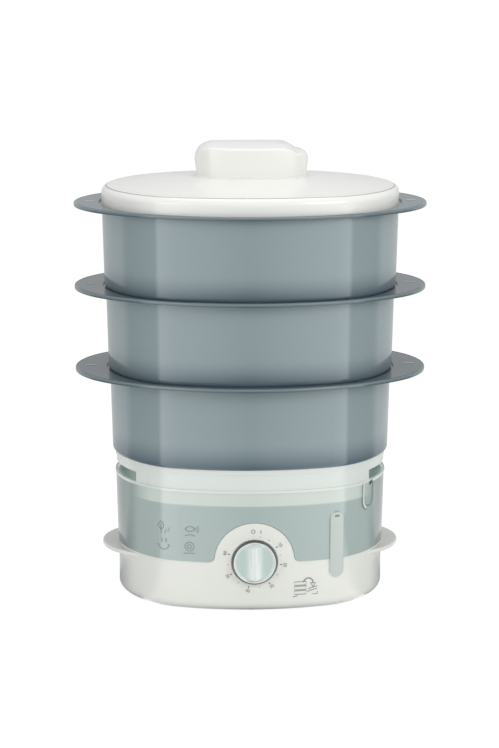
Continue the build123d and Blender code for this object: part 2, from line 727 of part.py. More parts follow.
for name, seat in seat_heights.items():
    mouth = seat + bowl_height
    foot_inset = mouth_insets[name] + bowl_height * tan(radians(bowl_draft))
    spigot_inset = spigot_insets[name]
    spigot_bottom = seat - spigot_depth
    with BuildPart() as bowl:
        block(seat, mouth, foot_inset, bowl_draft)
        fillet(bowl.faces().sort_by(Axis.Z)[0].edges(), bowl_foot_rounding)
        block(spigot_bottom, seat + wall, spigot_inset)
        # flange with down-turned lip, seat for the next bowl or the lid, and grip bars on the ears
        extrude(rim_outline(mouth - flange_lip_height, 0), amount=flange_lip_height)
        fillet(bowl.faces().sort_by(Axis.Z)[-1].edges(), flange_rounding)
        with BuildSketch(Plane.XY.offset(mouth - flange_lip_height)):
            add(rim_outline(0, flange_lip_width))
            add(oval(0, -seat_outset - wall), mode=Mode.SUBTRACT)
        extrude(amount=flange_lip_height - flange_plate, mode=Mode.SUBTRACT)
        with BuildSketch(Plane.XY.offset(mouth)):
            with GridLocations(2 * (flange_half_width - bar_setback), bar_pitch, 2, bar_count):
                Rectangle(bar_length, bar_width)
        extrude(amount=bar_height)
        block(mouth - seat_depth, mouth, -seat_outset, mode=Mode.SUBTRACT)
        # inside
        block(seat + wall, mouth, foot_inset + wall, bowl_draft, mode=Mode.SUBTRACT)
        block(spigot_bottom, seat + wall, spigot_inset + wall, mode=Mode.SUBTRACT)
    export(bowl.part, f"bowl_{name}")

    grid_inset = foot_inset + wall + grid_gap
    grid_bottom = seat + wall
    slot_half_x = half_width - grid_inset - slot_margin
    slot_half_y = half_depth - grid_inset - slot_margin
    slot_columns = 2 * int(slot_half_x / slot_pitch_x) + 1
    slot_rows = 2 * int(slot_half_y / slot_pitch_y) + 1
    slot_area = oval(grid_bottom, grid_inset + slot_margin)
    with BuildPart() as grid:
        block(grid_bottom, grid_bottom + grid_thickness + grid_rim_height, grid_inset)
        block(grid_bottom + grid_thickness, grid_bottom + grid_thickness + grid_rim_height,
              grid_inset + wall, mode=Mode.SUBTRACT)
        with BuildSketch(Plane.XY.offset(grid_bottom)):
            with GridLocations(slot_pitch_x, slot_pitch_y, slot_columns, slot_rows):
                Rectangle(slot_length, slot_width)
            add(slot_area.moved(Location((0, 0, -grid_bottom))), mode=Mode.INTERSECT)
        extrude(amount=grid_thickness, mode=Mode.SUBTRACT)
    export(grid.part, f"grid_{name}")

# ---- lid with its hollow handle ------------------------------------------------------------------
pod = (pod_x, pod_half_length, pod_half_depth, pod_corner, pod_top, pod_rounding)
lobe = (lobe_x, lobe_half_length, lobe_half_depth, lobe_corner, lobe_top, lobe_rounding)
lid_skin = [lid_body(0), handle_body(*pod, 0), handle_body(*lobe, 0)]
lid_inside = [lid_body(lid_wall), handle_body(*pod, lid_wall), handle_body(*lobe, lid_wall)]

with BuildPart() as lid:
    for piece in lid_skin:
        add(piece)
    for piece in lid_inside:
        add(piece, mode=Mode.SUBTRACT)
export(lid.part, "lid")
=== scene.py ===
# %% [markdown]
# # Electric food steamer
#
# Three eared bowls stand on a water tank and a white base with a minute dial. The shapes that fit and
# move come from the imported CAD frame. This script dresses them: it puts up the camera and the lights,
# gives every moulding its plastic, and adds the surfaces whose finer curves the eye looks for.
#
# The frame is the CAD's: +Z is up, and the dial faces -Y. Camera, lamps and materials are set in metres.
# Surfaces are worked out in millimetres, and turned into metres where their mesh is made.

# %% Load the frame
import bpy
import numpy as np
from math import cos, pi, radians, sin
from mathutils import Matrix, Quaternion, Vector


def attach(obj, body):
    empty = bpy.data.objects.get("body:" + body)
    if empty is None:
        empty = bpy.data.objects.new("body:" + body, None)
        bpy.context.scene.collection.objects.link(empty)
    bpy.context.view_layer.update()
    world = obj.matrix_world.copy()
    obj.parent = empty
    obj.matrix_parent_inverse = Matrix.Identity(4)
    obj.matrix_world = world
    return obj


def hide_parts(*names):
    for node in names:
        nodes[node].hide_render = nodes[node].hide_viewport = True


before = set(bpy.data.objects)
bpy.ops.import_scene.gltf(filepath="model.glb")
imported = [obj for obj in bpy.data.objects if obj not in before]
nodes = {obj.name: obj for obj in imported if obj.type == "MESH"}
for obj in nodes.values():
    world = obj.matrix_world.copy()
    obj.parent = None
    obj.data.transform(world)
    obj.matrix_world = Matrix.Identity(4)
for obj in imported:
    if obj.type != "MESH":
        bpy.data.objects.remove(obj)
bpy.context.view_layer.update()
mm = 0.001

# %% [markdown]
# ## Camera
#
# The camera comes first, because everything is judged from where it stands. It is a long lens about
# two metres away, a little above the stack and a few degrees to the left, so the ellipses of the rims
# stay flat and the left ears come slightly forward. Its focal length is given in pixels of the image.
# It could be placed by hand. It is worked out from an aim, a distance and three angles instead, so each of
# them can be changed alone.

# %% Camera
image_width, image_height = 499, 748
focal_pixels = 2460.0
camera_distance = 2.262
camera_pitch = radians(11.2)
camera_swing = radians(2.4)
camera_roll = radians(0.05)
aim = Vector((-0.0006, 0.0, 0.198))

camera_data = bpy.data.cameras.new("Camera")
camera = bpy.data.objects.new("Camera", camera_data)
bpy.context.scene.collection.objects.link(camera)
camera.location = aim + camera_distance * Vector((
    -sin(camera_swing) * cos(camera_pitch), -cos(camera_swing) * cos(camera_pitch), sin(camera_pitch)))
look = (aim - camera.location).to_track_quat("-Z", "Y")
camera.rotation_euler = (look @ Quaternion((0, 0, 1), camera_roll)).to_euler()
camera_data.sensor_width = 36.0
camera_data.lens = focal_pixels / max(image_width, image_height) * camera_data.sensor_width
camera_data.clip_end = 60.0
bpy.context.scene.camera = camera
print("lens", round(camera_data.lens, 1), "mm at", round(camera_distance, 2), "m")

# %% [markdown]
# ## Node helpers
#
# Materials are trees of nodes. What goes into a node is a number, a colour or another node's output, and
# these helpers take any of the three. They could be wired by hand in the shader editor. In code, a helper
# for one node keeps a long formula readable.

# %% Node helpers
def node_tree(owner):
    """Empties an owner's node tree and returns it with a short way to add nodes."""
    owner.use_nodes = True
    tree = owner.node_tree
    tree.nodes.clear()

    def add(kind, **inputs):
        node = tree.nodes.new(kind)
        for name, value in inputs.items():
            node.inputs[name.replace("_", " ")].default_value = value
        return node
    return tree, add


def feed(tree, socket, value):
    """Sets a socket to a number or a colour, or links another node's output to it."""
    if isinstance(value, (int, float, tuple)):
        socket.default_value = value
    else:
        tree.links.new(value, socket)


def math_node(tree, operation, *values):
    """The output of a Math node with these values as its inputs."""
    node = tree.nodes.new("ShaderNodeMath")
    node.operation = operation
    for socket, value in zip(node.inputs, values):
        feed(tree, socket, value)
    return node.outputs[0]


print("node helpers ready")

# %% [markdown]
# ## Floor
#
# White goods on white paper: the floor runs far behind the object, so no horizon shows. To the camera
# the paper glows a little, which keeps it white while the lamps stay at a plain level, and its diffuse
# part still takes the soft shadow under the base.
#
# Glossy mouldings show what stands round them. So for glossy rays alone the floor glows as a ring of white
# cards would: card_levels gives the glow at an azimuth in degrees, 0 in front of the dial, and card_back the
# glow straight behind. A colour ramp holds the levels as shares of card_peak, because it stops at 1.
# The front cards grow brighter away from the middle and end near 60 degrees, which gives each bowl its
# soft shine towards both corners and the sharp end of it.

# %% Floor
floor_reach = 30.0
paper_shade, paper_glow, glow_share = 0.86, 1.1, 0.85
card_peak, card_back = 2.6, 0.52
card_levels = {-115: 1.0, -105: 0.3, -62: 0.3, -58: card_peak, 0: 0.1,
               61: card_peak, 65: 0.3, 105: 0.3, 115: 1.0}

paper = bpy.data.materials.new("paper")
tree, add = node_tree(paper)
matt = add("ShaderNodeBsdfDiffuse", Color=(paper_shade, paper_shade, paper_shade, 1))
glow = add("ShaderNodeEmission", Color=(1, 1, 1, 1))
rays = add("ShaderNodeLightPath").outputs
mix = add("ShaderNodeMixShader")
out = add("ShaderNodeOutputMaterial")
split = add("ShaderNodeSeparateXYZ")
cards = add("ShaderNodeValToRGB")

tree.links.new(add("ShaderNodeNewGeometry").outputs["Position"], split.inputs[0])
azimuth = math_node(tree, "ARCTAN2", split.outputs[0], math_node(tree, "MULTIPLY", split.outputs[1], -1.0))
tree.links.new(math_node(tree, "MULTIPLY_ADD", azimuth, 0.5 / pi, 0.5), cards.inputs[0])
ramp = cards.color_ramp
for end, position in zip(ramp.elements, (0.0, 1.0)):
    end.position, end.color = position, (*[card_back / card_peak] * 3, 1)
for angle, shine in card_levels.items():
    ramp.elements.new(0.5 + angle / 360).color = (*[shine / card_peak] * 3, 1)
mirrored = math_node(tree, "MULTIPLY", cards.outputs[0], card_peak)
strength = math_node(tree, "MULTIPLY_ADD", rays["Is Glossy Ray"], mirrored,
                     math_node(tree, "MULTIPLY", rays["Is Camera Ray"], paper_glow))
share = math_node(tree, "MULTIPLY_ADD", rays["Is Camera Ray"], glow_share, rays["Is Glossy Ray"])
feed(tree, glow.inputs["Strength"], strength)
for socket, value in zip(mix.inputs, (share, matt.outputs[0], glow.outputs[0])):
    feed(tree, socket, value)
tree.links.new(mix.outputs[0], out.inputs[0])

floor_mesh = bpy.data.meshes.new("floor")
floor_corners = [(x * floor_reach, y * floor_reach, 0) for x, y in ((-1, -1), (1, -1), (1, 1), (-1, 1))]
floor_mesh.from_pydata(floor_corners, [], [(0, 1, 2, 3)])
floor_mesh.materials.append(paper)
floor = bpy.data.objects.new("floor", floor_mesh)
bpy.context.scene.collection.objects.link(floor)
print("floor reach", floor_reach, "m, card levels", len(card_levels))

# %% [markdown]
# ## Lamps
#
# A key lamp from the right and a weaker fill from the left shape the mouldings, a lamp above lights the
# rims and the lid, and an even grey sky fills the rest. An image of a studio round the scene could light it
# as well. Large soft lamps are chosen, because each can be judged and moved by itself. Powers are in watts.

# %% World and lamps
world = bpy.data.worlds.new("studio")
bpy.context.scene.world = world
tree, add = node_tree(world)
sky = add("ShaderNodeBackground", Color=(0.96, 0.98, 1.0, 1), Strength=0.6)
out = add("ShaderNodeOutputWorld")
tree.links.new(sky.outputs[0], out.inputs[0])
bpy.context.scene.view_settings.view_transform = "Standard"


def softbox(name, place, size, power, target=(0, 0, 0.2)):
    """A rectangular lamp at a place, facing the target. size is its width and height."""
    lamp = bpy.data.lights.new(name, "AREA")
    lamp.shape = "RECTANGLE"
    lamp.size, lamp.size_y = size
    lamp.energy = power
    box = bpy.data.objects.new(name, lamp)
    bpy.context.scene.collection.objects.link(box)
    box.location = place
    box.rotation_euler = (Vector(target) - Vector(place)).to_track_quat("-Z", "Y").to_euler()


softbox("key", (1.9, -2.2, 1.7), (1.4, 1.4), 29)
softbox("fill", (-2.1, -2.0, 1.2), (1.2, 1.6), 15)
softbox("front", (0.2, -3.2, 1.0), (0.9, 0.9), 2)
softbox("top", (0, 0.3, 2.6), (1.6, 1.6), 18)

# %% [markdown]
# ## Plastics
#
# Nearly every piece is injection-moulded plastic. What tells one from another is its colour, how matt the
# mould left it, and a faint unevenness that a flat colour lacks: the melt cools in slow swirls, and the
# skin has a fine grain. Images could be wrapped round the pieces for this. Noise at the surface's own place
# is used, because it needs no image and has no seam. One function builds them all, and each finish says
# only what is its own.
#
# A tint is a second colour with a mask: a number from 0 to 1 that says how much of it shows. Masks come
# from the surface's own attributes or from a place in the object.

# %% Plastic
swirl_scale, grain_size, grain_depth = 5.0, 0.0006, 0.0002
inward_start, inward_full = -0.01, -0.05


def tone(red, green, blue):
    """A colour as the eye reads it, from 0 to 255, turned into the linear light that shaders use."""
    share = np.array([red, green, blue]) / 255
    linear = np.where(share <= 0.04045, share / 12.92, ((share + 0.055) / 1.055) ** 2.4)
    return (*linear, 1.0)


class Masks:
    """Builds masks in one material's node tree, from the place of a point or from a mesh attribute."""

    def __init__(self, tree, add):
        self.tree, self.add = tree, add
        split = add("ShaderNodeSeparateXYZ")
        self.place = add("ShaderNodeTexCoord").outputs["Object"]
        tree.links.new(self.place, split.inputs[0])
        self.x, self.y, self.z = split.outputs

    def math(self, operation, *values):
        return math_node(self.tree, operation, *values)

    def step(self, value, low, high):
        """0 below low and 1 above high, with a smooth rise between. A low above high turns it round."""
        node = self.add("ShaderNodeMapRange")
        node.interpolation_type = "SMOOTHSTEP"
        node.inputs["From Min"].default_value, node.inputs["From Max"].default_value = sorted((low, high))
        self.tree.links.new(value, node.inputs["Value"])
        return self.math("SUBTRACT", 1.0, node.outputs[0]) if low > high else node.outputs[0]

    def both(self, *masks):
        """Where all the masks show."""
        result = masks[0]
        for mask in masks[1:]:
            result = self.math("MULTIPLY", result, mask)
        return result

    def between(self, value, low, high, soft):
        """1 from low to high, with edges inside them that are soft wide."""
        return self.both(self.step(value, low, low + soft), self.step(value, high, high - soft))

    def side(self, start, full):
        """A step on |x|, the distance from the object's middle plane."""
        return self.step(self.math("ABSOLUTE", self.x), start, full)

    def front(self):
        """1 on the half that faces -Y."""
        return self.step(self.y, 0.0, -0.01)

    def attribute(self, name, most=1.0):
        """A mesh attribute times the most of the tint that shows."""
        node = self.tree.nodes.new("ShaderNodeAttribute")
        node.attribute_name = name
        return self.math("MULTIPLY", node.outputs["Fac"], most)


def plastic(name, colour, roughness, swirl=0.01, grain=0.0, tints=(), through=0.0, **sockets):
    """Principled plastic: slow swirls darken the colour by the share swirl, and a fine grain lifts the skin.

    tints is a list of (colour, function of the masks), laid over the base colour in turn. through is the
    light that a translucent wall lets in: faces that look towards the middle of the object glow by it."""
    material = bpy.data.materials.new(name)
    tree, add = node_tree(material)
    masks = Masks(tree, add)
    shader = add("ShaderNodeBsdfPrincipled")
    out = add("ShaderNodeOutputMaterial")
    tree.links.new(shader.outputs[0], out.inputs[0])
    cloud = add("ShaderNodeTexNoise", Scale=swirl_scale, Detail=1.0)
    tree.links.new(masks.place, cloud.inputs["Vector"])

    def mixed(under, over, share):
        blend = tree.nodes.new("ShaderNodeMix")
        blend.data_type = "RGBA"
        for number, value in ((0, share), (6, under), (7, over)):
            feed(tree, blend.inputs[number], value)
        return blend.outputs[2]

    shade = mixed(colour, (*[c * (1 - 2 * swirl) for c in colour[:3]], 1), cloud.outputs["Fac"])
    for tint, mask in tints:
        shade = mixed(shade, tint, mask(masks))
    tree.links.new(shade, shader.inputs["Base Color"])
    wear = add("ShaderNodeMapRange", To_Min=roughness * 0.9, To_Max=roughness * 1.1)
    tree.links.new(cloud.outputs["Fac"], wear.inputs["Value"])
    tree.links.new(wear.outputs[0], shader.inputs["Roughness"])
    if grain:
        fine = add("ShaderNodeTexNoise", Scale=1 / grain_size, Detail=3.0)
        bump = add("ShaderNodeBump", Strength=grain, Distance=grain_depth)
        tree.links.new(masks.place, fine.inputs["Vector"])
        tree.links.new(fine.outputs["Fac"], bump.inputs["Height"])
        tree.links.new(bump.outputs[0], shader.inputs["Normal"])
    if through:
        facing = add("ShaderNodeSeparateXYZ")
        tree.links.new(add("ShaderNodeNewGeometry").outputs["Normal"], facing.inputs[0])
        outward = masks.math("ADD", masks.math("MULTIPLY", facing.outputs[0], masks.x),
                             masks.math("MULTIPLY", facing.outputs[1], masks.y))
        inward = masks.step(outward, inward_start, inward_full)
        tree.links.new(masks.math("MULTIPLY", inward, through), shader.inputs["Emission Strength"])
        tree.links.new(shade, shader.inputs["Emission Color"])
    for socket, value in sockets.items():
        shader.inputs[socket.replace("_", " ")].default_value = value
    return material


print("plastic ready")

# %% [markdown]
# ## Finishes
#
# Places in these masks are in metres. The base has painted shade: it is darker at its foot and at its sides
# under the ears. The tank has painted shade at its sides, where its wall is seen edge on, is paler where the
# juice collector stands behind the wall, above the collector's floor, and has a painted highlight on its rim
# bead. The gauge's rib has a pale face with a short dark mark near its top. The bowls, lid and knob are
# tinted by the attributes of their surfaces, which carry painted shade and painted highlights as well as the
# bowls' darker edge-on plastic.
#
# Translucent walls could be glass-like, with light that passes through. Next to nothing can be told through
# the real ones, so they are opaque and tinted, which is quicker and steadier. The tank and the collector
# let a little light through, so their inner faces glow weakly.

# %% Finishes
foot_shade_full, foot_shade_top = 0.001, 0.010
ear_underside, ear_shade = 0.037, 0.032
base_side_shade, tank_side_shade, collector_side = (0.106, 0.1235), (0.102, 0.119), (0.110, 0.092)
bead_foot, bead_edge, bead_blend = 0.1092, 0.0008, 0.0006
collector_floor, floor_blend = 0.0965, 0.002
gauge_middle, gauge_half, gauge_top = 0.0745, 0.006, 0.0886
mark_half, mark_low, mark_top = 0.0023, 0.0840, 0.0866
sharp_edge, soft_edge = 0.0004, 0.0007

# Painted shade on the base: darker near the table, and at its sides under the ears.
housing_white = plastic("housing white", tone(234, 234, 227), 0.3, swirl=0.004, grain=0.15, tints=[
    (tone(208, 210, 205), lambda m: m.step(m.z, foot_shade_top, foot_shade_full)),
    (tone(172, 176, 172), lambda m: m.attribute("overlap_and_shade")),
    (tone(190, 195, 191), lambda m: m.both(m.side(*base_side_shade), m.step(m.z, ear_underside, ear_shade)))])
# Bowls: painted shade near the foot, on the lip and in the seat recess, over the real darker edge-on plastic;
# painted highlight on the ear marks.
smoky_blue = plastic("smoky blue", tone(141, 155, 158), 0.12, swirl=0.008, tints=[
    (tone(80, 98, 108), lambda m: m.attribute("overlap_and_shade", 0.9)),
    (tone(58, 76, 84), lambda m: m.attribute("thick_and_shade", 0.85)),
    (tone(214, 220, 220), lambda m: m.attribute("pale", 0.8))])
# Tank: painted shade at its sides, a pale band for the collector behind the wall, a painted highlight on the
# rim bead, and the gauge's rib and mark.
tank_green = plastic("tank green", tone(173, 187, 183), 0.14, swirl=0.004, through=0.5, Coat_Weight=0.3,
                     Coat_Roughness=0.06, tints=[
    (tone(118, 134, 130), lambda m: m.both(m.step(m.z, bead_foot, bead_foot - bead_edge),
                                           m.side(*tank_side_shade))),
    (tone(208, 217, 209), lambda m: m.both(m.step(m.z, collector_floor, collector_floor + floor_blend),
                                           m.side(*collector_side))),
    # Painted highlight on the rim bead.
    (tone(222, 228, 221), lambda m: m.step(m.z, bead_foot, bead_foot + bead_blend)),
    (tone(190, 199, 192), lambda m: m.both(
        m.between(m.x, gauge_middle - gauge_half, gauge_middle + gauge_half, soft_edge),
        m.step(m.z, gauge_top, gauge_top - sharp_edge), m.front())),
    (tone(120, 130, 126), lambda m: m.both(
        m.between(m.x, gauge_middle - mark_half, gauge_middle + mark_half, sharp_edge),
        m.between(m.z, mark_low, mark_top, sharp_edge), m.front()))])
tray_green = plastic("tray green", tone(222, 227, 221), 0.24, swirl=0.004, through=0.4)
# Painted shade in the lid's crease.
frosted_white = plastic("frosted white", tone(240, 239, 234), 0.2, swirl=0.003, tints=[
    (tone(178, 177, 172), lambda m: m.attribute("thick_and_shade", 0.9))])
# Knob: painted shade on its side and beside the grip, painted highlights on its rim and the grip's crest.
knob_aqua = plastic("knob aqua", tone(214, 227, 221), 0.16, swirl=0.004, Coat_Weight=0.5, Coat_Roughness=0.05,
                    tints=[(tone(74, 84, 82), lambda m: m.attribute("overlap_and_shade")),
                           (tone(178, 198, 191), lambda m: m.attribute("thick_and_shade", 0.5)),
                           (tone(232, 236, 233), lambda m: m.attribute("pale"))])
grid_white = plastic("grid white", tone(214, 218, 215), 0.4, swirl=0.01)
dark_insulator = plastic("dark insulator", tone(70, 70, 72), 0.5, swirl=0.05, grain=0.3)
seal_grey = plastic("seal grey", tone(96, 96, 98), 0.75, swirl=0.06, grain=0.4)
foot_grey = plastic("foot grey", tone(150, 152, 152), 0.8, swirl=0.05, grain=0.4)
cast_alloy = plastic("cast alloy", tone(190, 190, 194), 0.38, swirl=0.08, grain=0.25, Metallic=1.0)
zinc_steel = plastic("zinc steel", tone(176, 176, 178), 0.34, swirl=0.06, Metallic=1.0)
turned_brass = plastic("turned brass", tone(190, 164, 104), 0.3, swirl=0.06, Metallic=1.0)
print_grey = plastic("print grey", tone(126, 131, 129), 0.5, swirl=0.02)
print_and_shade_pale = plastic("print and shade pale", tone(136, 146, 143), 0.5, swirl=0.02)
lip_white = plastic("lip white", tone(232, 238, 233), 0.2, swirl=0.01)
slot_black = plastic("slot black", tone(30, 34, 34), 0.5, swirl=0.02)

finishes = {
    housing_white: ["base_housing", "bottom_cover", "turbo_ring"],
    tank_green: ["tank"],
    tray_green: ["juice_collector"],
    grid_white: ["grid_lower", "grid_middle", "grid_upper"],
    dark_insulator: ["timer_case", "thermostat", "terminal_block", "cord_gland"],
    seal_grey: ["heater_seal"],
    foot_grey: [f"foot_{i}" for i in range(1, 5)],
    cast_alloy: ["heater_plate"],
    zinc_steel: ["housing_screws", "timer_screws", "timer_bell", "heater_retainer", "heater_screws",
                 "heater_element", "thermal_fuse"],
    turned_brass: ["timer_shaft"],
}
for material, names in finishes.items():
    for name in names:
        for material_slot in nodes[name].material_slots:
            material_slot.material = material
print("finished nodes", sum(len(names) for names in finishes.values()), "of", len(nodes))

# %% [markdown]
# ## Outlines and surfaces
#
# Each moulding is a grid of points: a row is one closed outline at one height, and the rows follow the
# wall's profile. An outline is a chain of tangent arcs, so a point is fixed by the direction t in which
# the outline faces there. On an arc with centre (a, b) and radius r, moved inwards by an inset i,
#
#     x = a + (r - i) cos t,   y = b + (r - i) sin t
#
# One quadrant gives the arcs, and the others mirror it. Because every row uses the same t for the same
# column, a wall leans, rounds over and turns into a rim without a twist. A curve drawn by hand would do for
# one piece, but these have to nest, so all of them share their arcs. Sizes from here on are in millimetres.

# %% Outlines
columns = 480
turns = 2 * pi * np.arange(columns) / columns
last_arc = 4.0  # a direction past +Y, so the last arc reaches all the way to it


def outline(arcs, inset=0.0, turn=turns):
    """x and y of an outline moved inwards by inset. arcs is (last angle, a, b, r) from +X round to +Y."""
    across, along = np.cos(turn), np.sin(turn)
    facing = np.arctan2(abs(along), abs(across))
    x, y = np.zeros_like(facing), np.zeros_like(facing)
    for last, a, b, radius in reversed(arcs):
        here = facing <= last
        x = np.where(here, a + (radius - inset) * abs(across), x)
        y = np.where(here, b + (radius - inset) * abs(along), y)
    return np.sign(across) * x, np.sign(along) * y


def corner_arcs(half_width, half_depth, corner_x, corner_y, corner):
    """Three arcs of a quadrant: side, corner and front. (corner_x, corner_y) is the corner arc's centre."""
    reach = corner_x ** 2 + corner_y ** 2
    front = (reach - (half_depth - corner) ** 2) / (2 * (half_depth - corner - corner_y))
    side = (reach - (half_width - corner) ** 2) / (2 * (half_width - corner - corner_x))
    return [(np.arctan2(corner_y, corner_x + side), -side, 0.0, half_width + side),
            (np.arctan2(corner_y + front, corner_x), corner_x, corner_y, corner),
            (last_arc, 0.0, -front, half_depth + front)]


def tip_arcs(half_width, half_depth, tip):
    """Two arcs of a quadrant: a tip arc at the side and one large arc at the front."""
    tip_x = half_width - tip
    large = (tip_x ** 2 + half_depth ** 2 - tip ** 2) / (2 * (half_depth - tip))
    return [(np.arctan2(large - half_depth, tip_x), tip_x, 0.0, tip),
            (last_arc, 0.0, half_depth - large, large)]


body_oval = corner_arcs(134.6, 110.6, 48.0, 28.0, 75.0)
rim_oval = tip_arcs(160.0, 119.0, 95.0)
handle_oval = corner_arcs(51.3, 29.0, 26.3, 4.0, 22.0)


def level(x, y, height):
    """Points at x and y and at a height, which may differ from point to point."""
    return np.stack([x, y, np.broadcast_to(height, x.shape)], -1)


def row(arcs, inset, height):
    """One row of a grid: an outline moved inwards by inset, at a height."""
    return level(*outline(arcs, inset), height)


def surface(name, rows, material, body, replaced=(), marks=None, sharp=32):
    """Mesh through a grid of rows. It closes into a ring, or ends in points where its end rows are points."""
    grid = np.array(rows)
    count, around = grid.shape[:2]
    poles = [np.ptp(grid[end], axis=0).max() < 1e-9 for end in (0, -1)]
    points = grid.reshape(-1, 3) * mm
    index = np.arange(count * around).reshape(count, around)
    for end, pole in zip((0, -1), poles):
        if pole:
            index[end] = index[end, 0]
    if not any(poles):
        index = np.vstack([index, index[:1]])
    beside = np.roll(index, -1, axis=1)
    quads = np.stack([index[:-1], beside[:-1], beside[1:], index[1:]], -1).reshape(-1, 4)
    used, quads = np.unique(quads, return_inverse=True)
    points, quads = points[used], quads.reshape(-1, 4)
    a, b, c, d = (points[quads[:, i]] for i in range(4))
    volume = np.einsum("ij,ij", a, np.cross(b, c)) + np.einsum("ij,ij", a, np.cross(c, d))
    if volume < 0:
        quads = quads[:, ::-1]
    faces = [list(dict.fromkeys(face)) for face in quads.tolist()]
    mesh = bpy.data.meshes.new(name)
    mesh.from_pydata(points.tolist(), [], faces)
    for mark, values in (marks or {}).items():
        spread = np.broadcast_to(values, (count, around)).reshape(-1)[used].astype(np.float32)
        mesh.attributes.new(mark, "FLOAT", "POINT").data.foreach_set("value", np.ascontiguousarray(spread))
    mesh.polygons.foreach_set("use_smooth", np.ones(len(faces), bool))
    mesh.set_sharp_from_angle(angle=radians(sharp))
    return placed(name, mesh, material, body, replaced)


def flat_mesh(name, points, faces):
    """Mesh from points in millimetres."""
    mesh = bpy.data.meshes.new(name)
    mesh.from_pydata((points * mm).tolist(), [], faces)
    return mesh


def placed(name, mesh, material, body, replaced=()):
    """An object for a mesh, on the body that it moves with."""
    mesh.materials.append(material)
    piece = bpy.data.objects.new(name, mesh)
    bpy.context.scene.collection.objects.link(piece)
    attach(piece, body)
    if replaced:
        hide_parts(*replaced)
    return piece


def quarter(start, end, steps=5):
    """cos and sin at steps + 1 angles from start to end, which turn a corner by a quarter circle."""
    turn = np.linspace(radians(start), radians(end), steps + 1)
    return list(zip(np.cos(turn), np.sin(turn)))


print("outline columns", columns)

# %% [markdown]
# ## Bowls
#
# From the foot upwards: the spigot that reaches into the piece below, a rounded foot, the drafted wall,
# the underside of the eared rim, its downturned lip, the rounded rim with a fine groove, the recess that
# seats the next bowl, and the inside. The wall leans out by z tan 1.4 degrees. A bevelled block with a
# Solidify modifier could give the rough shape. Rows at known heights are used, because the groove, the lip
# and the recess each have their exact place.
#
# Where the plastic is seen edge on, or two walls overlap, it looks darker. "thick" marks the rim and the
# seat: their edge-on plastic, with painted shade on the lip's face and in the seat's recess. "deep" marks
# the foot, which stands in front of the spigot, and goes on up the wall as painted shade that fades as
# (1 - s)^1.4, with s the share of the way. "pale" is a painted highlight on the small raised mark on each
# ear.

# %% Bowls
draft = np.tan(radians(1.4))
bowl_height, wall, spigot, plate = 77.0, 1.8, 7.5, 1.7
seat_depth, seat_outset, seat_edge = 1.5, 2.6, 0.4
lip_height, lip_width, lip_edge, lip_round = 3.2, 1.6, 0.3, 0.5
foot_round, edge_round, floor_round = 3.2, 1.0, 2.0
wall_low, inside_top, inside_low = 5, 4, 6
rim_groove = ((1.5, 0, 1.4), (2.1, 0.3, 0.6), (2.9, 0.3, 0.6), (3.2, 0, 1.0))  # inset, depth, thick
dark_start, dark_reach, dark_power = 3.0, 21.0, 1.4
seats = {"lower": 130.4, "middle": 205.9, "upper": 281.4}
bowl_insets = {"lower": (6.2, 13.685), "middle": (3.1, 8.5), "upper": (0.0, 5.4)}  # mouth and spigot
ear_mark, ear_mark_half, ear_mark_round, ear_mark_rise = 146.0, 3.0, 2.2, 0.5


def bowl_rows(seat, mouth_inset, spigot_inset):
    """Rows of one bowl with their marks: a list of (points, thick, deep)."""
    mouth = seat + bowl_height
    under, lip = mouth - plate, mouth - lip_height
    seat_inset = mouth_inset - seat_outset
    rows = []

    def side(height):
        return mouth_inset + (mouth - height) * draft

    def add(arcs, inset, height, thick_and_shade=0.0, overlap_and_shade=0.0):
        rows.append((row(arcs, inset, height), thick_and_shade, overlap_and_shade))

    add(body_oval, spigot_inset + wall, seat - spigot, 0, 1)
    add(body_oval, spigot_inset, seat - spigot, 0, 1)
    add(body_oval, spigot_inset, seat, 0, 1)
    foot = side(seat + foot_round)
    for along, up in quarter(-90, 0, 6):
        add(body_oval, foot + foot_round * (1 - along), seat + foot_round * (1 + up), 0, 1)
    # Painted shade: the wall darkens towards its foot and fades upwards.
    for height in np.linspace(seat + wall_low, lip, 22):
        climb = (height - seat - dark_start) / dark_reach
        add(body_oval, side(height), height, 0, float(np.clip(1 - climb, 0, 1)) ** dark_power)
    # The rim and seat rows carry the darker tint: edge-on plastic, and painted shade on the lip and in the
    # recess.
    for along, up in quarter(180, 90, 4):
        add(body_oval, side(under) - lip_width * (1 + along), under - lip_width * (1 - up), 0.3)
    add(rim_oval, lip_width, under, 0.6)
    add(rim_oval, lip_width, lip + lip_edge, 1)
    add(rim_oval, lip_width - lip_edge, lip, 1)
    add(rim_oval, lip_round, lip, 1)
    for along, up in quarter(-90, 0, 3):
        add(rim_oval, lip_round * (1 - along), lip + lip_round * (1 + up), 1)
    for along, up in quarter(0, 90, 5):
        add(rim_oval, edge_round * (1 - along), mouth - edge_round * (1 - up), 0.5)
    for inset, drop, thick_and_shade in rim_groove:
        add(rim_oval, inset, mouth - drop, thick_and_shade)
    inner = outline(body_oval, seat_inset - seat_edge)
    outer = outline(rim_oval, rim_groove[-1][0])
    for share in np.linspace(0.05, 0.95, 22):
        x, y = (o + (i - o) * share for o, i in zip(outer, inner))
        rows.append((level(x, y, mouth), 1.0, 0.0))
    add(body_oval, seat_inset - seat_edge, mouth, 1.2)
    add(body_oval, seat_inset, mouth - seat_edge, 1.4)
    add(body_oval, seat_inset, mouth - seat_depth, 1.4)
    add(body_oval, mouth_inset + wall, mouth - seat_depth, 0.2)
    for height in np.linspace(mouth - inside_top, seat + inside_low, 12):
        add(body_oval, side(height) + wall, height)
    for along, up in quarter(0, -90, 4):
        add(body_oval, foot + wall + floor_round * (1 - along), seat + wall + floor_round * (1 + up))
    add(body_oval, spigot_inset + wall, seat + wall)
    return rows


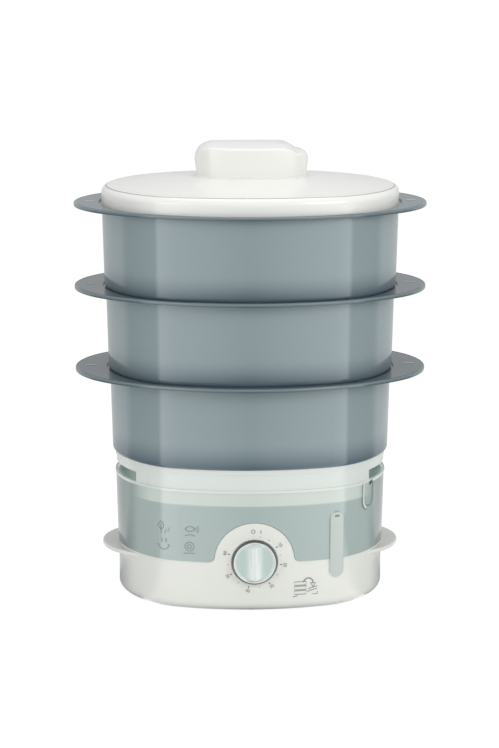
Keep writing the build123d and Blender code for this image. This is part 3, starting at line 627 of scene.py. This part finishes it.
for name, seat in seats.items():
    points, thick_and_shade, overlap_and_shade = zip(*bowl_rows(seat, *bowl_insets[name]))
    grid = np.array(points)
    on_plate = abs(grid[..., 2] - seat - bowl_height) < 0.05
    past_end = np.maximum(abs(abs(grid[..., 0]) - ear_mark) - ear_mark_half, 0)
    pill = np.clip(ear_mark_round - np.sqrt(past_end ** 2 + grid[..., 1] ** 2), 0, 1) * on_plate
    grid[..., 2] += ear_mark_rise * pill
    # The pale tint on the raised ear mark is a painted highlight.
    marks = {"thick_and_shade": np.array(thick_and_shade)[:, None], "overlap_and_shade": np.array(overlap_and_shade)[:, None], "pale": pill}
    surface(f"bowl_{name}_moulding", grid, smoky_blue, f"{name}_bowl", [f"bowl_{name}"],
            marks)
print("bowls", {name: round(seat + bowl_height, 1) for name, seat in seats.items()})

# %% [markdown]
# ## Lid
#
# A low skirt turns over a shoulder of radius r into a flat dome. A thin crease runs round the shoulder,
# with shade painted into it.
# The dome's rows slide from the lid's outline to the handle's, and rise with the share s of that way by
# 7.2 sin(s pi / 2) mm.
#
# The handle's top is a height field over x, given for each stretch as (start, length, drop). It is a
# quarter ellipse at the left end, flat in the middle, a slope at the right and a lower lobe past it. A
# crown across y lowers the front edge by up to 3.8 mm and the back edge by up to 1 mm. left_end is measured
# towards -X and crown_front towards -Y. The handle could be sculpted, or subdivided from a coarse cage. The
# height field is chosen, because a few lengths then say where each slope starts and how far it drops.

# %% Lid
lid_seat, lid_wall, lid_outset = 356.9, 2.0, 0.2
dome_height, shoulder, dome_rise = 17.3, 7.5, 7.2
skirt_heights = (0.0, 0.4, 4.0, dome_height - shoulder)
shoulder_angles = (8, 16, 24, 32, 40, 48, 54, 56.5, 57.5, 60, 68, 70.5, 71.5, 75, 80, 86, 90)
crease_start, crease_end, crease_depth = 57.5, 70.5, 0.7
handle_top, handle_shift, handle_round, handle_lean = 54.8, 0.9, 2.0, 1.8
left_end, slope, lobe = (33.4, 17.0, 13.4), (28.0, 13.5, 6.3), (41.5, 10.6, 6.6)
crown_front, crown_back, bend_power = (-6.0, 33.5, 3.8), (0.0, 29.0, 1.0), 1.6
handle_foot = ((-0.4, 0.0), (0.9, 0.35), (1.6, 1.1))  # inset and height of the fillet's rows
side_low, inside_side_low = 1.6, 0.8
top_insets = (4, 6, 9, 12, 15, 18)


def gone(place, stretch):
    """The share of a stretch that a place has passed, from 0 to 1."""
    start, length, _ = stretch
    return np.clip((place - start) / length, 0, 1)


def handle_height(x, y):
    """Height of the handle's top above the lid's seat."""
    drop = left_end[2] * (1 - np.sqrt(1 - gone(-x, left_end) ** 2)) + slope[2] * gone(x, slope) ** bend_power
    drop = drop + lobe[2] * (1 - np.sqrt(1 - gone(x, lobe) ** 2))
    crown = crown_front[2] * gone(-y, crown_front) ** bend_power + crown_back[2] * gone(y, crown_back) ** 2
    return handle_top - drop - crown


def handle_row(inset, height=None, lower=0.0, squeeze=1.0):
    """A row on the handle's outline. Without a height it lies on the handle's top, lowered by lower."""
    x, y = outline(handle_oval, inset)
    x, y = x * squeeze + handle_shift, y * squeeze
    return level(x, y, lid_seat + (handle_height(x, y) - lower if height is None else height))


def lid_rows(thickness):
    """Rows of the lid's skin, from the skirt's foot to the middle of the handle, moved in by thickness."""
    base, radius = thickness - lid_outset, shoulder - thickness
    rows = [row(body_oval, base, lid_seat + height) for height in skirt_heights]
    for angle in shoulder_angles:
        reach = radius - (crease_depth if crease_start < angle < crease_end and not thickness else 0)
        rows.append(row(body_oval, base + radius - reach * cos(radians(angle)),
                        lid_seat + dome_height - shoulder + reach * sin(radians(angle))))
    rim = outline(body_oval, shoulder - lid_outset)
    foot_x, foot_y = outline(handle_oval, handle_lean + thickness)
    for share in np.linspace(0, 1, 16)[1:-1]:
        x, y = (a + (b - a) * share for a, b in zip(rim, (foot_x + handle_shift, foot_y)))
        rows.append(level(x, y, lid_seat + dome_height - thickness + dome_rise * sin(share * pi / 2)))
    foot = dome_height + dome_rise - thickness
    fillet = [(handle_lean + thickness, 0.0)] if thickness else handle_foot
    rows += [handle_row(inset, foot + height) for inset, height in fillet]
    low = foot + (inside_side_low if thickness else side_low)
    edge_x, edge_y = outline(handle_oval, thickness)
    top = handle_height(edge_x + handle_shift, edge_y) - thickness - handle_round
    for share in (0.15, 0.35, 0.6, 0.8, 1.0):
        rows.append(handle_row(handle_lean * (1 - share) + thickness, low + (top - low) * share))
    for inward, up in quarter(0, 90, 6)[1:]:
        rows.append(handle_row(thickness + handle_round * (1 - inward),
                               lower=thickness + handle_round * (1 - up)))
    for inset in top_insets:
        rows.append(handle_row(inset + thickness, lower=thickness))
    for squeeze in (0.75, 0.5, 0.25):
        rows.append(handle_row(top_insets[-1] + thickness, lower=thickness, squeeze=squeeze))
    pole = np.array([handle_shift, 0, lid_seat + handle_height(handle_shift, 0) - thickness])
    rows.append(np.broadcast_to(pole, (columns, 3)))
    return rows


outside, inside = lid_rows(0.0), lid_rows(lid_wall)
lid_grid = np.array(inside[::-1] + outside)
# The crease rows get painted shade.
crease_shade = np.zeros(len(lid_grid))
first = len(inside) + len(skirt_heights)
in_crease = [crease_start < angle < crease_end for angle in shoulder_angles]
crease_shade[first:first + len(in_crease)] = in_crease
surface("lid_moulding", lid_grid, frosted_white, "cover", ["lid"],
        {"thick_and_shade": crease_shade[:, None]}, sharp=38)
print("lid top", round(lid_grid[..., 2].max(), 1))

# %% [markdown]
# ## Knob
#
# The knob is a height field over a disc: a rounded side, a raised rim, a dished face, and a grip bar whose
# height over the face is 6.2 exp(-(x / 4.8)^2), fading at both ends. It faces -Y. A disc could be turned and
# a bar joined to it, but the real grip flows out of the face, and one height field has no seam there. "deep"
# paints shade on the side, where the knob sits in its ring, "pale" paints highlights on the rim and the
# grip's crest, and "thick" paints shade on the face on both sides of the grip.

# %% Knob
dial_height, knob_radius, knob_back, knob_face = 46.3, 19.7, 96.2, 6.0
knob_edge, knob_rim, rim_slope, rim_drop, back_edge = 1.2, 2.0, 0.6, 1.2, 0.3
dish_radius, dish_rim, dish_depth, dish_reach = 16.0, 1.0, 0.5, 16.5
grip_rise, grip_width, grip_end, grip_fade = 6.2, 4.8, 17.4, 2.4
fade_end, fade_width = 17.6, 2.0
rim_inside, rim_outside, face_outside = 16.8, 18.8, 16.3
crest_start, crest_reach, crest_most = 0.5, 3.5, 0.8
flank_start, flank_reach = 4.0, 3.0
knob_columns = 144
knob_turns = 2 * pi * np.arange(knob_columns) / knob_columns


def knob_row(radius, height):
    """A ring of the knob at a radius, with the height over the knob's back from its profile and the grip."""
    x, z = radius * np.cos(knob_turns), radius * np.sin(knob_turns)
    fade = np.clip((grip_end - abs(z)) / grip_fade, 0, 1) * np.clip((fade_end - radius) / fade_width, 0, 1)
    grip = grip_rise * np.exp(-(x / grip_width) ** 2) * fade
    return np.stack([x, -knob_back - height - grip, dial_height + z], -1)


profile = [(0.0, 0.0), (knob_radius - back_edge, 0.0)]
profile += [(knob_radius, height) for height in (back_edge, 2.0, 4.0)]
profile += [(knob_radius - knob_edge * (1 - inward), knob_face - knob_edge * (1 - up))
            for inward, up in quarter(0, 90, 5)]
profile += [(knob_radius - knob_rim, knob_face), (knob_radius - knob_rim - rim_slope, knob_face - rim_drop),
            (knob_radius - knob_rim - 2 * rim_slope, knob_face - rim_drop)]
profile += [(radius, knob_face - dish_rim - dish_depth * (1 - (radius / dish_reach) ** 2))
            for radius in np.linspace(dish_radius, 0.0, 34)]
knob_grid = np.array([knob_row(*pair) for pair in profile])
knob_grid[0] = [0, -knob_back, dial_height]
radii = np.array([radius for radius, _ in profile])[:, None]
# Painted shade on the side rows and the grip's flanks, painted highlights on the rim and the crest.
side_rows = np.zeros_like(radii)
side_rows[3:10] = 1.0  # from the side to just before the top of its round edge
crest = np.clip((-knob_grid[..., 1] - knob_back - knob_face - crest_start) / crest_reach, 0, 1)
flank = np.clip((abs(knob_grid[..., 0]) - flank_start) / flank_reach, 0, 1)
knob_marks = {"overlap_and_shade": side_rows,
              "pale": ((radii > rim_inside) & (radii <= rim_outside)) + crest_most * crest,
              "thick_and_shade": (radii < face_outside) * flank}
surface("knob_moulding", knob_grid, knob_aqua, "dial", ["timer_knob"], knob_marks, sharp=40)
print("knob rows", len(profile))

# %% [markdown]
# ## Base skirt
#
# The base's wall rounds over at its foot. A Bevel modifier can't do that on the CAD's mesh, which is loose
# triangles, so a thin skin lies over the wall. It also closes the wall beside the dial's tower. Its upper
# edge runs under the deck and arches under the dial's recess: z = 46.3 - sqrt(24^2 - x^2) there. "deep"
# paints shade on it, growing towards the table.

# %% Base skirt
base_inset, base_round, base_low, base_turn_in = 13.1, 6.0, 0.6, 10.1
skirt_top, skirt_low, skin, top_edge, foot_skin = 44.6, 9.2, 0.8, 0.15, 0.5
inner_foot, inner_foot_inset = 5.0, 3.2
arch_radius = 24.0
shade_top, shade_reach, shade_most, shade_power = 5.5, 4.5, 0.75, 1.5


def skirt_row(inset, height=None):
    """A row of the base's skin. Without a height it follows the skin's upper edge."""
    x, y = outline(body_oval, inset)
    if height is None:
        arch = dial_height - np.sqrt(np.maximum(arch_radius ** 2 - x ** 2, 0))
        height = np.where((y < 0) & (abs(x) < arch_radius), np.minimum(arch, skirt_top), skirt_top)
    return level(x, y, height)


skirt = [skirt_row(base_inset + base_turn_in, base_low + height) for height in (foot_skin, 0)]
skirt += [skirt_row(base_inset + base_round * (1 - inward), base_low + base_round * (1 + up))
          for inward, up in quarter(-90, 0, 8)]
low, high = skirt_row(base_inset, skirt_low), skirt_row(base_inset)
skirt += [low + (high - low) * share for share in (0.3, 0.6, 0.97)]
skirt += [skirt_row(base_inset + top_edge), skirt_row(base_inset + skin)]
skirt += [skirt_row(base_inset + skin, skirt_low), skirt_row(base_inset + inner_foot_inset, inner_foot)]
# Painted shade on the skin, which grows towards the table.
low_share = np.clip((shade_top - np.array(skirt)[..., 2]) / shade_reach, 0, 1)
surface("base_skirt", skirt, housing_white, "base",
        marks={"overlap_and_shade": shade_most * low_share ** shade_power})
print("skirt rows", len(skirt))

# %% [markdown]
# ## Dial lip
#
# A low ring stands round the knob on the housing, with a rounded outer edge. A torus would be round all
# over, and the real ring has a flat face, so its profile is given point by point. Each pair below is a
# radius and the depth of the ring's skin in front of the object's middle plane.

# %% Dial lip
lip_profile = [(20.6, 95.9), (20.6, 98.0), (20.9, 98.3), (21.9, 98.3),
               (22.5, 97.9), (22.8, 97.0), (22.8, 95.9)]
lip_rows = [np.stack([radius * np.cos(knob_turns), np.full(knob_columns, -depth),
                      dial_height + radius * np.sin(knob_turns)], -1) for radius, depth in lip_profile]
surface("dial_lip", lip_rows, housing_white, "base")
print("lip rows", len(lip_rows))

# %% [markdown]
# ## Print
#
# The real marks are printed in one thin colour. An image on the surface would do, but it blurs from close by
# and the mesh doesn't carry it, so each mark is a thin ribbon, 0.1 mm proud. A mark is a pair (points,
# faces), drawn flat with u across and v up, and then laid on the front, where the depth of the oval of
# inset i is
#
#     y = -(sqrt((230.4 - i)^2 - x^2) - 119.8)          while x is on the front arc
#     y = -(28 + sqrt((75 - i)^2 - (|x| - 48)^2))       beyond it

# %% Print
(corner_last, corner_x, corner_y, corner_r), (_, _, front_y, front_r) = body_oval[1:]
proud = 0.1
font_share = 0.7  # of a font's size that a figure is high


def front_depth(x, inset):
    """y of the oval's front at x, for an inset."""
    front = front_y + np.sqrt((front_r - inset) ** 2 - x ** 2)
    beyond = np.clip((corner_r - inset) ** 2 - (abs(x) - corner_x) ** 2, 0, None)
    bend = (corner_r - inset) * cos(corner_last) + corner_x
    return -np.where(abs(x) < bend, front, corner_y + np.sqrt(beyond))


def ribbon(lines, width):
    """Flat quads of a width along polylines of (u, v). A closed line ends where it starts."""
    points, faces = [], []
    for line in lines:
        line = np.array(line, float)
        ahead = np.gradient(line, axis=0)
        if np.allclose(line[0], line[-1]):
            ahead[0] = ahead[-1] = line[1] - line[-2]
        ahead /= np.linalg.norm(ahead, axis=1, keepdims=True)
        across = np.stack([-ahead[:, 1], ahead[:, 0]], -1) * width / 2
        start = len(points)
        points += (line + across).tolist() + (line - across).tolist()
        step = np.arange(len(line) - 1) + start
        faces += np.stack([step, step + len(line), step + len(line) + 1, step + 1], -1).tolist()
    return np.array(points), faces


def lettering(text, height):
    """Points and faces of a text in the built-in font, centred on the origin."""
    curve = bpy.data.curves.new("lettering", "FONT")
    curve.body, curve.size = text, height / font_share
    curve.align_x, curve.align_y = "CENTER", "CENTER"
    holder = bpy.data.objects.new("lettering", curve)
    mesh = bpy.data.meshes.new_from_object(holder)
    flat = np.zeros(len(mesh.vertices) * 3)
    mesh.vertices.foreach_get("co", flat)
    faces = [list(face.vertices) for face in mesh.polygons]
    bpy.data.objects.remove(holder)
    bpy.data.curves.remove(curve)
    bpy.data.meshes.remove(mesh)
    return flat.reshape(-1, 3)[:, :2], faces


def at(mark, x, z, size=1.0):
    """A mark scaled and moved."""
    return mark[0] * size + (x, z), mark[1]


def turned(mark, angle, x=0.0, z=0.0):
    """A mark turned clockwise by an angle in degrees and moved."""
    flat, faces = mark
    c, s = cos(radians(angle)), sin(radians(angle))
    return flat @ np.array([[c, -s], [s, c]]) + (x, z), faces


def ring(radius, steps=32, start=0, sweep=360, x=0.0, z=0.0):
    """Points of a circle or an arc, clockwise from the top by start, in degrees."""
    turn = np.radians(np.linspace(start, start + sweep, steps + 1))
    return np.stack([x + radius * np.sin(turn), z + radius * np.cos(turn)], -1)


def printed(name, marks, material, inset):
    """One mesh for a list of flat marks (points, faces), laid on the front. inset is a function of height."""
    points, faces, start = [], [], 0
    for flat, flat_faces in marks:
        points.append(flat)
        faces += [[corner + start for corner in face] for face in flat_faces]
        start += len(flat)
    x, z = np.concatenate(points).T
    laid = np.stack([x, front_depth(x, inset(z)) - proud, z], -1)
    return placed(name, flat_mesh(name, laid, faces), material, "base")


print("front arc of", round(front_r, 1), "mm")

# %% [markdown]
# ## Dial print
#
# The scale runs clockwise from the off sign at the top: a stroke and a figure every ten minutes, a short
# stroke between, at angles in degrees. The angles could be even steps, but on this timer they aren't quite
# even, so each is written out. Figures in the lower half are turned to stay upright. The tower's face leans
# back above a height of 33.6, as the CAD's does.

# %% Dial print
face_inset, lean_start = 13.0, 33.6
figure_radius, figure_height = 27.6, 2.9
ten_minutes = {10: 56, 20: 97, 30: 146, 40: 193, 50: 241, 60: 287}
five_minutes = (33, 76, 121, 169, 217, 264, 13)
long_stroke, short_stroke = (22.9, 25.2, 0.7), (23.2, 24.2, 0.45)  # start, end and width


def spoke(angle, start, end, width):
    """A stroke away from the dial's middle."""
    way = np.array([sin(radians(angle)), cos(radians(angle))])
    return ribbon([[way * start, way * end]], width)


dial_marks = [spoke(angle, *long_stroke) for angle in ten_minutes.values()]
dial_marks += [spoke(angle, *short_stroke) for angle in five_minutes]
for minutes, angle in ten_minutes.items():
    upright = angle if angle < 100 or angle > 260 else angle - 180
    dial_marks.append(turned(lettering(str(minutes), figure_height), upright,
                             figure_radius * sin(radians(angle)), figure_radius * cos(radians(angle))))
off_sign = [ribbon([ring(1.6, x=-1.2, z=28.2)], 0.5), ribbon([[(5.6, 29.4), (5.6, 26.4)]], 0.6)]
printed("dial_print", [at(mark, 0, dial_height) for mark in dial_marks + off_sign], print_grey,
        lambda z: face_inset - np.maximum(z - lean_start, 0) * draft)
print("dial marks", len(dial_marks + off_sign))

# %% [markdown]
# ## Signs
#
# The stacking sign on the base shows that the bowls nest when they are turned over: three bowls in outline,
# strokes for the pile beside them, and an arrow that swings over. The signs on the tank stand for vegetables,
# fish, a bowl of rice and eggs. They could be traced from drawings. A few arcs and strokes are enough at
# this size, and each is drawn about its own middle.

# %% Signs
sign_width, arrow_width = 0.7, 1.1
bowl_pitch, stacking_place = 4.2, (44.5, 17.0)
bowl_outline = np.array([(-9, 1), (-8, -2.2), (1.5, -2.2), (2.5, 1), (-9, 1)])
stack = [bowl_outline + (0, bowl_pitch * i) for i in range(3)]
stack += [[(-10, -4), (12.5, -2.5), (12.5, -0.5)], [(3, 0), (12, 2.4)], [(4, 2.4), (12, 4.6)]]
swing = [ring(4.4, 20, -80, 170, x=4.0, z=8.0), [(10.6, 7.4), (8.4, 4.2), (6.0, 7.8), (10.6, 7.4)]]
stacking = [ribbon(stack, sign_width), ribbon(swing, arrow_width)]
printed("stacking_sign", [at(mark, *stacking_place) for mark in stacking], print_and_shade_pale, lambda z: face_inset)

food_width = 0.6
tank_inset, parting = 12.3, 45.5
blade = np.linspace(0, 1, 14)
leaf = [list(zip(side * 2.6 * np.sin(pi * blade) - 2.4, 8.5 * blade - 2.5)) for side in (-1, 1)]
leaf += [[(-2.4, -6.5), (-2.4, 3.5)], [(0.8, -6.5), (2.6, -1.5), (4.2, -4.0), (5.8, 0.5)]]
fish = [ring(4.4, 14, 300, 120, z=-2.4), ring(4.4, 14, 120, 120, z=2.4),
        [(3.6, 0), (6.2, 2.6), (6.2, -2.6), (3.6, 0)], [(-4, -5.5), (0, -4.4), (4, -5.5)]]
rice = [ring(4.6, 16, 90, 180), [(-5.6, 0), (5.6, 0)],
        [(-2, 2), (-1, 4), (-2, 6)], [(1.6, 2), (2.6, 4), (1.6, 6)]]
egg = [ring(3.7, 24), ring(1.6, 16), [(-4.6, -5.6), (4.6, -5.6)]]
food = [(leaf, -81.0, 75.2, 0.92), (fish, -57.5, 75.5, 1.15),  # sign, x, z and size
        (rice, -81.0, 59.2, 1.0), (egg, -58.0, 59.2, 1.1)]
printed("food_signs", [at(ribbon(lines, food_width), x, z, size) for lines, x, z, size in food], print_and_shade_pale,
        lambda z: tank_inset - (z - parting) * draft)
print("signs", 1 + len(food))

# %% [markdown]
# ## Filling spout
#
# A pale lip follows the spout's round-bottomed outline on the tank, with a thin line of painted shade along
# each side of it, and a dark slot marks where the water goes in. The slot could be cut into the wall. It is a
# few millimetres wide, so a dark patch of painted shadow looks the same and the tank's own mesh stays whole.
# All three are drawn in the plane that faces out at 60 degrees from the front, and laid on the wall.

# %% Filling spout
spout_turn, tank_wall = radians(60), 12.4
across_axis = np.array([cos(spout_turn), sin(spout_turn)])
outward = np.array([sin(spout_turn), -cos(spout_turn)])
slot_corners = np.array([(2.0, 106.5), (7.4, 108.2), (7.4, 111.0), (2.0, 109.4)])
lip_line = (8.8, 86.0, 110.6)  # half width, foot and top
lip_shades = ((6.9, 88.0, 110.6), (10.3, 84.4, 109.0))
line_width, shade_width = 2.0, 0.5
line_above, shade_above, slot_above = 1.5, 1.3, 1.7  # in front of the tank's wall


def on_spout(name, mark, material, above):
    """Lays a flat mark above the tank's corner where the spout is. u runs along the wall, v is the height."""
    flat, faces = mark
    radius = corner_r - (tank_wall - (flat[:, 1] - parting) * draft) + above
    drawn = flat[:, :1] * across_axis
    offset = drawn - np.array([corner_x, -corner_y])
    reach = offset @ outward
    depth = -reach + np.sqrt(reach ** 2 - (offset ** 2).sum(-1) + radius ** 2)
    points = np.column_stack([drawn + depth[:, None] * outward, flat[:, 1]])
    return placed(name, flat_mesh(name, points, faces), material, "base")


def tongue(half, low, top):
    """A line down one side, round the bottom and up the other."""
    turn = np.radians(np.linspace(180, 0, 25))
    return [(-half, top), *zip(half * np.cos(turn), low + half - half * np.sin(turn)), (half, top)]


on_spout("spout_line", ribbon([tongue(*lip_line)], line_width), lip_white, line_above)
# Painted shade along both sides of the lip.
on_spout("spout_shade", ribbon([tongue(*line) for line in lip_shades], shade_width), print_and_shade_pale, shade_above)
# Painted shadow: a dark patch stands in for the slot's opening.
on_spout("spout_slot", (slot_corners, [[0, 1, 2, 3]]), slot_black, slot_above)
print("spout at", round(spout_turn * 180 / pi), "degrees")
